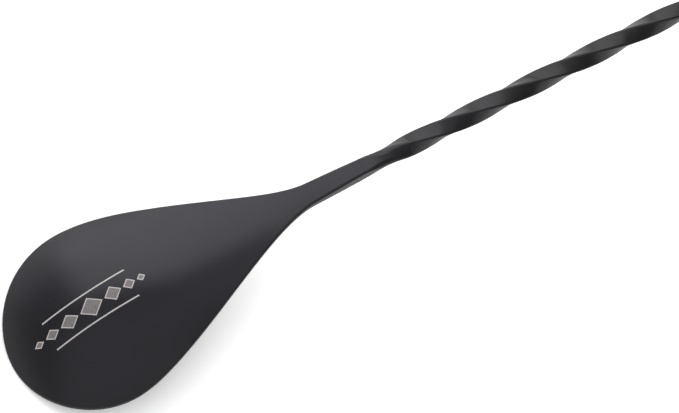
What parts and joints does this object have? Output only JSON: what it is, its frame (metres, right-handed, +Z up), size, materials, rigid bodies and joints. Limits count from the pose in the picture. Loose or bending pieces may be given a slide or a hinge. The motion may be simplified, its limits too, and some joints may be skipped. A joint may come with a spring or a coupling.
{
  "type": "bar spoon",
  "caption": "Long-handled bar spoon with a teardrop bowl, a twisted square stem and a teardrop counterweight, coated matte black.",
  "frame": {"origin": "on the table under the middle of the spoon's length, with the spoon lying face down on the tip of its bowl and the belly of its counterweight", "axes": "+X along the spoon from the bowl to the counterweight, +Y to the left, +Z up, out of the convex back of the bowl. The stem's axis slopes down towards the counterweight by 1.7 degrees"},
  "size_m": [0.3002, 0.0264, 0.0127],
  "materials": {
    "black_coating": "satin",
    "braze_filler": "satin",
    "etched_steel": "matte"
  },
  "bodies": {
    "root": {"bowl": "black_coating", "twisted_stem": "black_coating", "counterweight": "black_coating", "bowl_joint_braze": "braze_filler", "weight_joint_braze": "braze_filler"}
  },
  "joints": []
}
